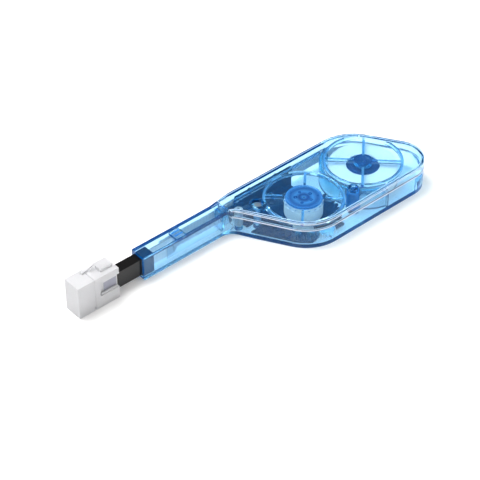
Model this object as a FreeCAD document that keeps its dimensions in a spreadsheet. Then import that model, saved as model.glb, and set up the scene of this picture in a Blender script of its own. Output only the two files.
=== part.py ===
# Push-type cleaning pen for multi-fibre connectors: a flat two-reel case, a barrel with a sliding
# nozzle, and a guide cap with a hinged dust lid. X runs along the barrel towards the tail, Y to the
# left, Z up. The origin is on the flat bottom of the case, below the barrel's axis.
import FreeCAD, Part
import math
import os
import re
import Sketcher

# Driving dimensions: millimetres, degrees and counts.
DIMENSIONS = {
    # case plan
    "barrel_front": -64.9, "barrel_half": 4.65, "case_left": 4.9, "case_right": -43.7,
    "shoulder_foot": 12.9, "shoulder_slope": 59.7, "tail_corner": 75.7, "tail_slope": 57.8,
    "ramp_front": -15.7, "ramp_back": -3.0, "neck_radius": 8.0, "shoulder_radius": 22.5,
    "tail_left_radius": 24.0, "tail_right_radius": 13.3,
    # case heights and walls
    "case_height": 16.5, "barrel_low": 0.95, "barrel_high": 14.75, "wall_width": 1.6,
    "barrel_wall": 1.4, "case_split": 11.1, "barrel_split": 13.3, "split_step": -10.0,
    "floor_high": 1.6, "barrel_floor": 2.35, "cover_ceiling": 14.9,
    "ring_opening": 18.5, "hole_gap": 0.05, "far_reach": 60.0,
    # axles and posts
    "take_up_x": 24.5, "take_up_y": -21.4, "supply_x": 67.6, "supply_y": -19.5,
    "axle_radius": 2.4, "axle_shoulder": 3.2, "axle_top": 12.4, "running_gap": 0.05,
    "screw_x": 3.2, "screw_y": -10.6, "column_radius": 1.95, "screw_radius": 1.2,
    "screw_head": 2.9, "head_height": 1.5, "head_seat": 13.7, "column_top": 12.2,
    "cover_screw_length": 9.0, "rear_screw_length": 12.5,
    "pillar_x": 48.2, "pillar_y": -32.4, "pillar_radius": 3.3, "pillar_top": 13.1,
    "roller_x": -4.6, "roller_y": -5.3, "roller_radius": 2.3, "roller_low": 4.3,
    "roller_high": 12.9, "pin_radius": 0.6, "seat_web_x": -14.0, "seat_web_width": 2.0,
    "seat_web_half": 2.4, "guide_post_radius": 1.3, "chamber_radius": 21.2,
    "guide_x": 61.1, "chamber_wall": 1.4, "chamber_end": 258.0, "chamber_web_x": 62.0,
    "chamber_high": 12.6, "washer_thick": 0.3, "fit_gap": 0.3,
    # tape
    "tape_low": 5.3, "tape_width": 6.4, "tape_thick": 0.2, "tape_run_y": 2.85,
    "tape_run_front": -49.5, "loop_half": 1.7, "loop_back": -46.0,
    # gear, rack and ratchet
    "gear_module": 1.0, "gear_teeth": 36, "gear_low": 3.3, "gear_thick": 1.4,
    "ratchet_teeth": 18, "ratchet_radius": 7.5, "ratchet_depth": 0.7, "ratchet_high": 6.6,
    # reels
    "take_up_radius": 9.5, "take_up_low": 5.0, "take_up_high": 14.0, "used_tape": 0.4,
    "supply_hub": 8.7, "supply_roll": 17.9, "supply_low": 4.2, "supply_high": 11.0,
    "flange_thick": 0.6, "crown_low": 11.95, "crown_thick": 0.95, "crown_depth": 0.7,
    # slider
    "nozzle_front": -91.3, "nozzle_half": 2.9, "nozzle_low": 3.35, "nozzle_high": 13.05,
    "collar_length": 6.9, "collar_half": 3.1, "head_half": 1.2, "head_nose": 1.3,
    "guide_back": -43.0, "rod_radius": 1.2, "rod_end": 1.0, "rod_level": 8.2,
    "slide_travel": 8.0, "plate_low": 1.9, "plate_high": 3.0, "plate_back": 36.0,
    "plate_right": -38.5, "rail_low_y": 1.2, "rail_high_y": 2.4, "rail_high": 14.0,
    "rail_back": 37.0, "peg_radius": 0.9, "peg_height": 0.6,
    "peg_front": 8.5, "peg_back": 26.0, "plate_gap": 0.5, "tongue_back": -1.6, "tongue_half": 1.5,
    # spring
    "spring_radius": 1.8, "spring_wire": 0.5, "spring_turns": 10, "turn_steps": 12,
    "wire_sides": 6,
    # cover ribs
    "ring_radius": 19.4, "ring_width": 1.4, "rib_low": 13.2, "rib_width": 1.3,
    "boss_radius": 9.3, "boss_low": 14.3, "spigot_low": 9.0, "supply_boss": 4.8,
    "block_front": -43.0, "block_back": -37.0, "block_low": 12.0, "rail_rib_y": -0.45,
    "rail_rib_back": 55.0,
    # stop pawl
    "pawl_x": 15.0, "pawl_y": -8.6, "pawl_radius": 1.6, "pawl_gap": 0.2, "pawl_post": 0.8,
    "pawl_contact": 112.0,
    # cap and lid
    "cap_front": -95.0, "cap_back": -80.6, "cap_half": 5.28, "cap_high": 18.6,
    "socket_half": 4.0, "socket_low": 1.9, "socket_high": 14.5, "socket_back": -91.0,
    "cap_gap": 0.1, "recess_front": -92.0, "recess_depth": 1.7, "recess_low": 6.8,
    "recess_high": 15.0, "block_half": 2.0, "block_start": -89.2, "block_top": 20.2,
    "lid_front": -105.0, "lid_wall": 0.9, "hinge_x": -94.6, "hinge_z": 0.9, "hinge_radius": 0.9,
    "lid_pin_radius": 0.5, "knuckle_half": 2.5, "tab_low_y": 2.0, "tab_high_y": 3.6,
    "tab_tip_x": -89.8, "tab_tip_z": 21.5,
}

doc = FreeCAD.newDocument("CleaningPen")
sheet = doc.addObject("Spreadsheet::Sheet", "Dims")
for row, (name, size) in enumerate(DIMENSIONS.items(), start=1):
    sheet.set("A%d" % row, str(size))
    sheet.setAlias("A%d" % row, name)
doc.recompute()

V = FreeCAD.Vector
TURN_AXIS = "V_Axis"
# An arc whose ends already span its diameter needs no radius rule.
HALF_TURN_RISE = 1e-4
# The kind of joint between the short straight lengths of a swept wire.
SHARP_CORNERS = 1
# Tooth outlines in modules: sideways from the tooth's middle, and outwards from the pitch line.
RACK_TOOTH = [("1.18", "1.35"), ("0.361", "-1"), ("-0.361", "-1"), ("-1.18", "1.35")]
GEAR_TOOTH = [
    ("-1.12", "-1.35"), ("1.12", "-1.35"), ("0.72", "0"), ("0.36", "1"), ("-0.36", "1"), ("-0.72", "0"),
]


def bound(text):
    """The expression with each dimension's name read from the sheet."""
    return re.sub(r"\b[a-z]+(?:_[a-z]+)+\b", r"Dims.\g<0>", str(text))


def value(text):
    """The number that an expression gives now."""
    return float(sheet.evalExpression(bound(text)))


def body(label, x="0", y="0", z="0"):
    """An empty body whose place is bound to the sheet."""
    made = doc.addObject("PartDesign::Body", label)
    made.Label = label
    for axis, text in zip("xyz", (x, y, z)):
        made.setExpression("Placement.Base." + axis, bound(text))
    return made


def sketch(of_body, role, level):
    """A sketch on one of the body's origin planes, lifted along the plane's normal."""
    plane = next(f for f in of_body.Origin.OriginFeatures if f.Role == role)
    made = of_body.newObject("Sketcher::SketchObject", of_body.Label + "_sketch")
    made.AttachmentSupport = [(plane, "")]
    made.MapMode = "FlatFace"
    made.setExpression("AttachmentOffset.Base.z", bound(level))
    return made


def hold(drawing, element, point, place):
    """Hold one point of an element at two expressions from the sketch's origin."""
    for kind, text in zip(("DistanceX", "DistanceY"), place):
        rule = Sketcher.Constraint(kind, -1, 1, element, point, value(text))
        drawing.setExpression("Constraints[%d]" % drawing.addConstraint(rule), bound(text))


def outline(drawing, corners):
    """A closed outline through corners (x, y) or (x, y, radius), given as expressions.

    A radius makes an arc from its corner to the next one: above 0 it turns left, below 0 right.
    """
    points = [V(value(c[0]), value(c[1]), 0) for c in corners]
    sides = []
    radii = []
    for corner, start, end in zip(corners, points, points[1:] + points[:1]):
        if len(corner) == 2:
            sides.append((drawing.addGeometry(Part.LineSegment(start, end)), 1, 2))
            continue
        radius = value(corner[2])
        chord = end - start
        rise = math.sqrt(max(0.0, radius**2 - (chord.Length / 2) ** 2))
        left = V(-chord.y, chord.x, 0).normalize() * math.copysign(rise, radius)
        centre = (start + end) * 0.5 + left
        first, last = (start, end) if radius > 0 else (end, start)
        angles = [math.atan2(p.y - centre.y, p.x - centre.x) for p in (first, last)]
        whole = Part.Circle(centre, V(0, 0, 1), abs(radius))
        arc = drawing.addGeometry(Part.ArcOfCircle(whole, angles[0], angles[1]))
        sides.append((arc, 1, 2) if radius > 0 else (arc, 2, 1))
        if rise > HALF_TURN_RISE:
            size = bound("abs(%s)" % corner[2])
            radii.append((Sketcher.Constraint("Radius", arc, abs(radius)), size))
    for side, after, corner in zip(sides, sides[1:] + sides[:1], corners[1:] + corners[:1]):
        drawing.addConstraint(Sketcher.Constraint("Coincident", side[0], side[2], after[0], after[1]))
        hold(drawing, after[0], after[1], corner[:2])
    for rule, size in radii:
        drawing.setExpression("Constraints[%d]" % drawing.addConstraint(rule), size)


def circle(drawing, x, y, radius):
    """A circle bound by its centre and radius."""
    made = drawing.addGeometry(Part.Circle(V(value(x), value(y), 0), V(0, 0, 1), value(radius)))
    hold(drawing, made, 3, (x, y))
    rule = Sketcher.Constraint("Radius", made, value(radius))
    drawing.setExpression("Constraints[%d]" % drawing.addConstraint(rule), bound(radius))


def polar(x, y, radius, angle):
    """A point at a radius and an angle in degrees from a centre, as expressions."""
    return (
        "%s + (%s) * cos((%s) * 1deg)" % (x, radius, angle),
        "%s + (%s) * sin((%s) * 1deg)" % (y, radius, angle),
    )


def band(drawing, x, y, inner, outer, start, end):
    """A closed arc band between two radii and two angles in degrees."""
    angles = [math.radians(value(a)) for a in (start, end)]
    centre = V(value(x), value(y), 0)
    arcs = []
    for radius in (inner, outer):
        whole = Part.Circle(centre, V(0, 0, 1), value(radius))
        arc = drawing.addGeometry(Part.ArcOfCircle(whole, angles[0], angles[1]))
        hold(drawing, arc, 1, polar(x, y, radius, start))
        hold(drawing, arc, 2, polar(x, y, radius, end))
        rule = Sketcher.Constraint("Radius", arc, value(radius))
        drawing.setExpression("Constraints[%d]" % drawing.addConstraint(rule), bound(radius))
        arcs.append(arc)
    for side, angle in ((1, start), (2, end)):
        ends = [V(*(value(t) for t in polar(x, y, r, angle)), 0) for r in (inner, outer)]
        line = drawing.addGeometry(Part.LineSegment(*ends))
        drawing.addConstraint(Sketcher.Constraint("Coincident", line, 1, arcs[0], side))
        drawing.addConstraint(Sketcher.Constraint("Coincident", line, 2, arcs[1], side))


def rectangle(x0, y0, x1, y1):
    """Four corners of an upright rectangle, as expressions."""
    return [(x0, y0), (x1, y0), (x1, y1), (x0, y1)]


def draw(drawing, shapes):
    """Draw shapes given as (function, arguments) pairs."""
    for shape in shapes:
        shape[0](drawing, *shape[1:])


def pad(of_body, shapes, low, high, role="XY_Plane"):
    """Add the shapes from one level to another along the plane's normal."""
    drawing = sketch(of_body, role, low)
    draw(drawing, shapes)
    made = of_body.newObject("PartDesign::Pad", of_body.Label + "_pad")
    made.Profile = drawing
    made.setExpression("Length", bound("(%s) - (%s)" % (high, low)))
    drawing.Visibility = False
    doc.recompute()
    return made


def cut(of_body, shapes, low, high, role="XY_Plane"):
    """Cut the shapes away between two levels along the plane's normal."""
    drawing = sketch(of_body, role, high)
    draw(drawing, shapes)
    made = of_body.newObject("PartDesign::Pocket", of_body.Label + "_cut")
    made.Profile = drawing
    made.setExpression("Length", bound("(%s) - (%s)" % (high, low)))
    doc.recompute()
    return made


def turned(of_body, profile):
    """Revolve a profile of (radius, height) expressions round the body's own Z axis."""
    drawing = sketch(of_body, "XZ_Plane", "0")
    outline(drawing, profile)
    made = of_body.newObject("PartDesign::Revolution", of_body.Label + "_turn")
    made.Profile = drawing
    made.ReferenceAxis = (drawing, [TURN_AXIS])
    doc.recompute()
    return made


def repeated(of_body, feature, count):
    """Repeat a feature evenly round the body's own Z axis."""
    made = of_body.newObject("PartDesign::PolarPattern", of_body.Label + "_ring")
    made.Originals = [feature]
    axis = next(f for f in of_body.Origin.OriginFeatures if f.Role == "Z_Axis")
    made.Axis = (axis, [""])
    made.Angle = 360
    made.setExpression("Occurrences", bound(count))
    of_body.Tip = made
    doc.recompute()
    return made


# Plan lines of the case, each moved inwards by an inset.
def tail_x(y, inset):
    """X of the slanting tail wall at a given Y."""
    return (
        "(tail_corner + (case_left - (%s)) / tan(tail_slope * 1deg)"
        " - (%s) / sin(tail_slope * 1deg))" % (y, inset)
    )


def shoulder_x(y, inset):
    """X of the slanting shoulder wall at a given Y."""
    return (
        "(shoulder_foot - ((%s) - case_right) / tan(shoulder_slope * 1deg)"
        " + (%s) / sin(shoulder_slope * 1deg))" % (y, inset)
    )


def case_plan(inset, side, front):
    """The closed plan of the case, inset from the outside; side is the inset of the barrel's walls."""
    left = "(case_left - (%s))" % inset
    right = "(case_right + (%s))" % inset
    half = "(barrel_half - (%s))" % side
    shoulder = "shoulder_slope * 1deg"
    tail = "tail_slope * 1deg"
    neck_radius = "(neck_radius + (%s))" % inset
    shoulder_radius = "(shoulder_radius - (%s))" % inset
    right_radius = "(tail_right_radius - (%s))" % inset
    left_radius = "(tail_left_radius - (%s))" % inset
    neck_run = "%s * tan(shoulder_slope * 0.5deg)" % neck_radius
    shoulder_run = "%s * tan(shoulder_slope * 0.5deg)" % shoulder_radius
    right_run = "%s / tan(tail_slope * 0.5deg)" % right_radius
    left_run = "%s * tan(tail_slope * 0.5deg)" % left_radius
    neck = shoulder_x("-%s" % half, inset)
    foot = shoulder_x(right, inset)
    return [
        (front, "-%s" % half),
        ("%s - %s" % (neck, neck_run), "-%s" % half, "-%s" % neck_radius),
        (
            "%s + %s * cos(%s)" % (neck, neck_run, shoulder),
            "-%s - %s * sin(%s)" % (half, neck_run, shoulder),
        ),
        (
            "%s - %s * cos(%s)" % (foot, shoulder_run, shoulder),
            "%s + %s * sin(%s)" % (right, shoulder_run, shoulder),
            shoulder_radius,
        ),
        ("%s + %s" % (foot, shoulder_run), right),
        ("%s - %s" % (tail_x(right, inset), right_run), right, right_radius),
        (
            "%s - %s * cos(%s)" % (tail_x(right, inset), right_run, tail),
            "%s + %s * sin(%s)" % (right, right_run, tail),
        ),
        (
            "%s + %s * cos(%s)" % (tail_x(left, inset), left_run, tail),
            "%s - %s * sin(%s)" % (left, left_run, tail),
            left_radius,
        ),
        ("%s - %s" % (tail_x(left, inset), left_run), left),
        ("ramp_back", left),
        ("ramp_front", half),
        (front, half),
    ]


def slot(x_front, x_back, y, half):
    """A slot along X with round ends."""
    return [
        (x_front, "%s - (%s)" % (y, half)),
        (x_back, "%s - (%s)" % (y, half), half),
        (x_back, "%s + (%s)" % (y, half)),
        (x_front, "%s + (%s)" % (y, half), half),
    ]


def spoke(x, y, inner, outer, width, angle):
    """A radial bar between two radii at an angle in degrees."""
    along = ("cos((%s) * 1deg)" % angle, "sin((%s) * 1deg)" % angle)
    corners = []
    for radius, side in ((inner, -1), (outer, -1), (outer, 1), (inner, 1)):
        half = "(%s) * %s / 2" % (width, side)
        corners.append((
            "%s + (%s) * %s - %s * %s" % (x, radius, along[0], half, along[1]),
            "%s + (%s) * %s + %s * %s" % (y, radius, along[1], half, along[0]),
        ))
    return corners


def guide_post_y():
    """Y of the tape's guide post, just inside the tape's run."""
    return "(tape_run_y - tape_thick / 2 - running_gap - guide_post_radius)"


def make_bottom_shell():
    """Lower shell: channel of the barrel, paddle tray, axles, posts and the supply chamber's wall."""
    shell = body("bottom_shell")
    pad(shell, [(outline, case_plan("0", "0", "barrel_front"))], "0", "barrel_split")
    above = rectangle("split_step", "case_right - far_reach", "far_reach * 2", "far_reach")
    cut(shell, [(outline, above)], "case_split", "barrel_split + far_reach")
    under = [
        ("barrel_front - wall_width", "-wall_width"), ("ramp_back", "-wall_width"), ("ramp_back", "0"),
        ("ramp_front", "barrel_low"), ("barrel_front - wall_width", "barrel_low"),
    ]
    cut(shell, [(outline, under)], "-far_reach", "far_reach", "XZ_Plane")
    inside = case_plan("wall_width", "barrel_wall", "barrel_front - wall_width")
    cut(shell, [(outline, inside)], "floor_high", "barrel_split + wall_width")
    channel = rectangle("barrel_front", "-barrel_half + barrel_wall / 2", "roller_x - roller_radius",
                        "barrel_half - barrel_wall / 2")
    pad(shell, [(outline, channel)], "barrel_low + barrel_wall / 4", "barrel_floor")
    root = "floor_high - wall_width / 4"
    axles = [("take_up_x", "take_up_y"), ("supply_x", "supply_y")]
    pad(shell, [(circle, "take_up_x", "take_up_y", "axle_shoulder")], root, "gear_low - running_gap")
    washer_seat = "supply_low - washer_thick - running_gap"
    pad(shell, [(circle, "supply_x", "supply_y", "axle_shoulder")], root, washer_seat)
    pad(shell, [(circle, x, y, "axle_radius") for x, y in axles], root, "axle_top")
    start = "180 - atan((%s - supply_y) / (supply_x - guide_x)) / 1deg" % guide_post_y()
    chamber = (band, "supply_x", "supply_y", "chamber_radius", "chamber_radius + chamber_wall", start,
               "chamber_end")
    pad(shell, [chamber], root, "chamber_high")
    pad(shell, [(circle, "guide_x", guide_post_y(), "guide_post_radius")], root, "chamber_high")
    web = rectangle("chamber_web_x", "case_right + wall_width / 2",
                    "chamber_web_x + barrel_wall", "supply_y - chamber_radius - chamber_wall / 4")
    pad(shell, [(outline, web)], root, "case_split")
    pad(shell, [(circle, "screw_x", "screw_y", "column_radius")], root, "column_top")
    pad(shell, [(circle, "pillar_x", "pillar_y", "pillar_radius")], root, "pillar_top")
    pad(shell, [(circle, "roller_x", "roller_y", "roller_radius")], root, "roller_low - fit_gap")
    seat = rectangle("seat_web_x", "-seat_web_half", "seat_web_x + seat_web_width", "seat_web_half")
    pad(shell, [(outline, seat)], "barrel_low + barrel_wall / 2", "barrel_split - fit_gap")
    cut(shell, [(circle, "0", "rod_level", "rod_radius + fit_gap")], "seat_web_x - wall_width",
        "seat_web_x + seat_web_width + wall_width", "YZ_Plane")
    cut(shell, [(circle, "roller_x", "roller_y", "pin_radius")], "barrel_floor", "far_reach")
    cut(shell, [(circle, "screw_x", "screw_y", "screw_radius + hole_gap")], "gear_low", "far_reach")
    cut(shell, [(circle, "pillar_x", "pillar_y", "screw_radius + hole_gap")], "-1", "far_reach")
    cut(shell, [(circle, "pillar_x", "pillar_y", "screw_head + hole_gap")], "-1",
        "head_height + running_gap * 4")
    return shell


def make_top_cover():
    """Upper shell: flat top with ring ribs over both reels, screw well and the barrel's strip."""
    cover = body("top_cover")
    pad(cover, [(outline, case_plan("0", "0", "barrel_front"))], "case_split", "case_height")
    below = rectangle("barrel_front - far_reach", "-far_reach", "split_step", "far_reach")
    cut(cover, [(outline, below)], "0", "barrel_split")
    over = [
        ("barrel_front - wall_width", "case_height + wall_width"),
        ("barrel_front - wall_width", "barrel_high"), ("ramp_front", "barrel_high"),
        ("ramp_back", "case_height"), ("ramp_back", "case_height + wall_width"),
    ]
    cut(cover, [(outline, over)], "-far_reach", "far_reach", "XZ_Plane")
    inside = case_plan("wall_width", "barrel_wall", "barrel_front - wall_width")
    cut(cover, [(outline, inside)], "0", "cover_ceiling")
    strip = rectangle("barrel_front", "-barrel_half + barrel_wall / 2", "split_step",
                      "barrel_half - barrel_wall / 2")
    pad(cover, [(outline, strip)], "barrel_split", "barrel_high")
    block = rectangle("block_front", "-barrel_half + barrel_wall + running_gap", "block_back",
                      "barrel_half - barrel_wall - running_gap")
    pad(cover, [(outline, block)], "block_low", "barrel_split + barrel_wall / 4")
    roof = "cover_ceiling + wall_width / 4"
    outer = "ring_radius + ring_width"
    middle = "ring_radius + ring_width / 2"
    ring = [(circle, "take_up_x", "take_up_y", outer), (circle, "take_up_x", "take_up_y", "ring_radius")]
    pad(cover, ring, "rib_low", roof)
    start = "90 - tail_slope + ring_opening"
    pad(cover, [(band, "supply_x", "supply_y", "ring_radius", outer, start,
                 "450 - tail_slope - ring_opening")], "rib_low", roof)
    for x, y, inner in (("take_up_x", "take_up_y", "boss_radius + barrel_wall"),
                        ("supply_x", "supply_y", "supply_boss - barrel_wall / 4")):
        bars = [(outline, spoke(x, y, inner, middle, "rib_width", 45 + 90 * n)) for n in range(4)]
        pad(cover, bars, "rib_low", roof)
    pad(cover, [(circle, "take_up_x", "take_up_y", "boss_radius")], "boss_low", roof)
    spigot = (circle, "take_up_x", "take_up_y", "take_up_radius - barrel_wall - fit_gap")
    sleeve = (circle, "take_up_x", "take_up_y", "axle_radius + barrel_wall + fit_gap")
    pad(cover, [spigot, sleeve], "spigot_low", roof)
    pad(cover, [spigot], "axle_top + fit_gap", roof)
    pad(cover, [(circle, "supply_x", "supply_y", "supply_boss")], "axle_top + fit_gap", roof)
    pad(cover, [(circle, "pawl_x", "pawl_y", "pawl_post")], "crown_low", roof)
    rib = rectangle("ramp_back", "rail_rib_y - rib_width / 3", "rail_rib_back",
                    "rail_rib_y + rib_width / 3")
    pad(cover, [(outline, rib)], "rib_low", roof)
    pad(cover, [(circle, "screw_x", "screw_y", "screw_head + wall_width")], "column_top", roof)
    pad(cover, [(circle, "pillar_x", "pillar_y", "column_radius + barrel_wall / 2")], "pillar_top", roof)
    cut(cover, [(circle, "screw_x", "screw_y", "screw_radius + hole_gap")], "0", "far_reach")
    cut(cover, [(circle, "screw_x", "screw_y", "screw_head + fit_gap")], "head_seat", "far_reach")
    cut(cover, [(circle, "pillar_x", "pillar_y", "screw_radius + hole_gap")], "0", "cover_ceiling")
    return cover


def make_screw(label, x, y, z, shank):
    """A round-headed screw standing on its axis; the head is above z and the shank below it."""
    screw = body(label, x, y, z)
    turned(screw, [
        ("0", "-(%s)" % shank), ("screw_radius", "-(%s)" % shank), ("screw_radius", "0"),
        ("screw_head", "0"), ("screw_head", "head_height * 0.6"),
        ("screw_head * 0.6", "head_height"), ("0", "head_height"),
    ])
    return screw


def make_neck_roller():
    """Roller that turns the used tape from the barrel towards the take-up reel, on its pin."""
    roller = body("neck_roller", "roller_x", "roller_y")
    turned(roller, rectangle("pin_radius + running_gap", "roller_low", "roller_radius", "roller_high"))
    pin = body("roller_pin", "roller_x", "roller_y")
    turned(pin, rectangle("0", "barrel_floor", "pin_radius", "roller_high + fit_gap"))
    return roller, pin


def make_nozzle():
    """Hollow square nozzle with the wider collar that slides in the barrel."""
    nozzle = body("nozzle")
    front = rectangle("-nozzle_half", "nozzle_low", "nozzle_half", "nozzle_high")
    pad(nozzle, [(outline, front)], "nozzle_front", "barrel_front + collar_length / 2", "YZ_Plane")
    collar = rectangle("-collar_half", "barrel_floor + fit_gap / 2", "collar_half",
                       "barrel_split - fit_gap / 2")
    pad(nozzle, [(outline, collar)], "barrel_front", "barrel_front + collar_length", "YZ_Plane")
    bore = rectangle("-loop_half - tape_thick - fit_gap / 2", "tape_low - barrel_wall / 4",
                     "loop_half + tape_thick + fit_gap / 2", "tape_low + tape_width + barrel_wall / 4")
    cut(nozzle, [(outline, bore)], "nozzle_front - wall_width", "barrel_front + far_reach", "YZ_Plane")
    return nozzle


def make_tape_head():
    """Flat bar inside the nozzle whose rounded nose presses the tape on the connector."""
    head = body("tape_head")
    low = "tape_low - barrel_wall / 4"
    high = "tape_low + tape_width + barrel_wall / 4"
    nose = "nozzle_front - head_nose"
    plan = [
        ("%s + head_half" % nose, "head_half", "head_half"), ("%s + head_half" % nose, "-head_half"),
        ("barrel_front + collar_length - fit_gap", "-head_half"),
        ("barrel_front + collar_length - fit_gap", "head_half"),
    ]
    pad(head, [(outline, plan)], low, high)
    return head


def make_tape_loop():
    """Cleaning tape along both sides of the head and round its nose."""
    loop = body("tape_loop")
    nose = "nozzle_front - head_nose + head_half"
    outer = "loop_half"
    inner = "loop_half - tape_thick"
    plan = [
        (nose, outer, outer), (nose, "-(%s)" % outer), ("loop_back", "-(%s)" % outer),
        ("loop_back", "-(%s)" % inner), (nose, "-(%s)" % inner, "-(%s)" % inner), (nose, inner),
        ("loop_back", inner), ("loop_back", outer),
    ]
    pad(loop, [(outline, plan)], "tape_low", "tape_low + tape_width")
    return loop


def make_guide_rod():
    """Tape guide with the spring's flange and the round rod that ties the nozzle to the carriage."""
    rod = body("guide_rod")
    guide = rectangle("-head_half", "rod_level - tape_width / 2", "head_half",
                      "rod_level + tape_width / 2")
    start = "barrel_front + collar_length - fit_gap"
    pad(rod, [(outline, guide)], start, "guide_back", "YZ_Plane")
    pad(rod, [(circle, "0", "rod_level", "spring_radius + spring_wire")], "guide_back - barrel_wall",
        "guide_back", "YZ_Plane")
    pad(rod, [(circle, "0", "rod_level", "rod_radius")], "guide_back - barrel_wall", "rod_end", "YZ_Plane")
    return rod


def make_carriage():
    """Sliding carriage: plate under the take-up reel, rail with pegs, tongue and rack."""
    carriage = body("carriage")
    turn_x = shoulder_x("case_right + shoulder_radius", "shoulder_radius")
    turn_y = "(case_right + shoulder_radius)"
    turn = "(shoulder_radius - wall_width - plate_gap)"
    inset = "wall_width + plate_gap"
    slot_half = "(column_radius + plate_gap / 2)"
    plan = [
        polar(turn_x, turn_y, turn, "270 - shoulder_slope") + (turn,),
        ("%s - sqrt(%s ^ 2 - (plate_right - %s) ^ 2)" % (turn_x, turn, turn_y), "plate_right"),
        ("plate_back", "plate_right"), ("plate_back", "rail_high_y"), ("tongue_back", "rail_high_y"),
        ("tongue_back", "screw_y + %s" % slot_half),
        (shoulder_x("screw_y - %s" % slot_half, inset), "screw_y - %s" % slot_half),
    ]
    pad(carriage, [(outline, plan)], "plate_low", "plate_high")
    tongue = rectangle("roller_x - roller_radius", "-tongue_half", "rod_end + wall_width", "tongue_half")
    pad(carriage, [(outline, tongue)], "barrel_floor + fit_gap", "rod_level + rod_radius + rib_width")
    rail = rectangle("tongue_back + tongue_half / 2", "rail_low_y", "rail_back", "rail_high_y")
    pad(carriage, [(outline, rail)], "plate_low", "rail_high")
    pegs = [(circle, x, "rail_high_y - peg_radius", "peg_radius") for x in ("peg_front", "peg_back")]
    pad(carriage, pegs, "rail_high - peg_height * 4", "rail_high + peg_height")
    pitch = "gear_module * pi"
    line = "(take_up_y + gear_module * gear_teeth / 2)"
    root = "%s + gear_module * 1.25" % line
    first = "take_up_x - 3.5 * %s" % pitch
    foot = rectangle("%s - %s / 2" % (first, pitch), root, "take_up_x + 2 * %s" % pitch, "rail_high_y")
    pad(carriage, [(outline, foot)], "plate_low", "gear_low + gear_thick")
    teeth = []
    for count in range(6):
        centre = "%s + %d * %s" % (first, count, pitch)
        teeth.append((outline, [
            ("%s + gear_module * (%s)" % (centre, dx), "%s + gear_module * (%s)" % (line, dy))
            for dx, dy in RACK_TOOTH
        ]))
    pad(carriage, teeth, "plate_low", "gear_low + gear_thick")
    travel_slot = slot("take_up_x - slide_travel", "take_up_x", "take_up_y", "axle_shoulder + fit_gap")
    cut(carriage, [(outline, travel_slot)], "0", "plate_high + fit_gap")
    screw_slot = slot("screw_x - far_reach / 2", "screw_x", "screw_y", slot_half)
    cut(carriage, [(outline, screw_slot)], "0", "plate_high + fit_gap")
    cut(carriage, [(circle, "0", "rod_level", "rod_radius")], "-far_reach", "rod_end", "YZ_Plane")
    return carriage


def make_drive_gear():
    """Gear driven by the rack, with three sprung pawls that push the take-up reel's inner ratchet."""
    gear = body("drive_gear", "take_up_x", "take_up_y")
    high = "gear_low + gear_thick"
    root = "gear_module * (gear_teeth / 2 - 1.25)"
    pad(gear, [(circle, "0", "0", root)], "gear_low", high)
    pitch = "gear_module * gear_teeth / 2"
    tooth = [("gear_module * (%s)" % dx, "%s + gear_module * (%s)" % (pitch, dy)) for dx, dy in GEAR_TOOTH]
    repeated(gear, pad(gear, [(outline, tooth)], "gear_low", high), "gear_teeth")
    cut(gear, [(circle, "0", "0", "axle_radius + running_gap")], "0", "far_reach")
    step = "360 / ratchet_teeth"
    arm_inner = "ratchet_radius - 3 * ratchet_depth"
    arm_outer = "ratchet_radius - 1.8 * ratchet_depth"
    top = "ratchet_high - fit_gap"
    for turn in range(3):
        angle = "%s + 0.7 + %d" % (step, turn * 120)
        cut(gear, [(band, "0", "0", "ratchet_radius - 3.8 * ratchet_depth", "ratchet_radius + fit_gap",
                    angle + " - 6", angle + " + 64")], "0", "gear_low + gear_thick + wall_width")
        pad(gear, [(band, "0", "0", arm_inner, arm_outer, angle, angle + " + 76")], "gear_low", top)
        tip = [polar("0", "0", "ratchet_radius - 2.2 * ratchet_depth", angle),
               polar("0", "0", "ratchet_radius - 0.5 * ratchet_depth", angle),
               polar("0", "0", "ratchet_radius - 2.2 * ratchet_depth", angle + " + 9")]
        pad(gear, [(outline, tip)], "gear_low + gear_thick + fit_gap", top)
    return gear


def make_take_up_reel():
    """Take-up hub: inner ratchet below, cup above, and a crown of teeth for the stop pawl."""
    reel = body("take_up_reel", "take_up_x", "take_up_y")
    bore = "axle_radius + running_gap"
    sleeve = "axle_radius + barrel_wall"
    rim = "take_up_radius - barrel_wall"
    floor = "ratchet_high + barrel_wall"
    turned(reel, [
        (bore, "ratchet_high"), ("ratchet_radius", "ratchet_high"), ("ratchet_radius", "take_up_low"),
        ("take_up_radius", "take_up_low"), ("take_up_radius", "take_up_high"), (rim, "take_up_high"),
        (rim, floor), (sleeve, floor), (sleeve, "axle_top"), (bore, "axle_top"),
    ])
    step = "360 / ratchet_teeth"
    inner = [polar("0", "0", "ratchet_radius + ratchet_depth / 3", "%s * 0.2" % step),
             polar("0", "0", "ratchet_radius + ratchet_depth / 3", step),
             polar("0", "0", "ratchet_radius - ratchet_depth", step)]
    repeated(reel, pad(reel, [(outline, inner)], "take_up_low", "ratchet_high + fit_gap"), "ratchet_teeth")
    crown = [polar("0", "0", "take_up_radius - fit_gap", "0"),
             polar("0", "0", "take_up_radius + crown_depth", "0"),
             polar("0", "0", "take_up_radius - fit_gap", "%s * 0.9" % step)]
    repeated(reel, pad(reel, [(outline, crown)], "crown_low", "crown_low + crown_thick"), "ratchet_teeth")
    return reel


def make_tape_ring(label, x, y, inner, outer):
    """Tape wound on a reel."""
    ring = body(label, x, y)
    turned(ring, rectangle(inner, "tape_low", outer, "tape_low + tape_width"))
    return ring


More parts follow.
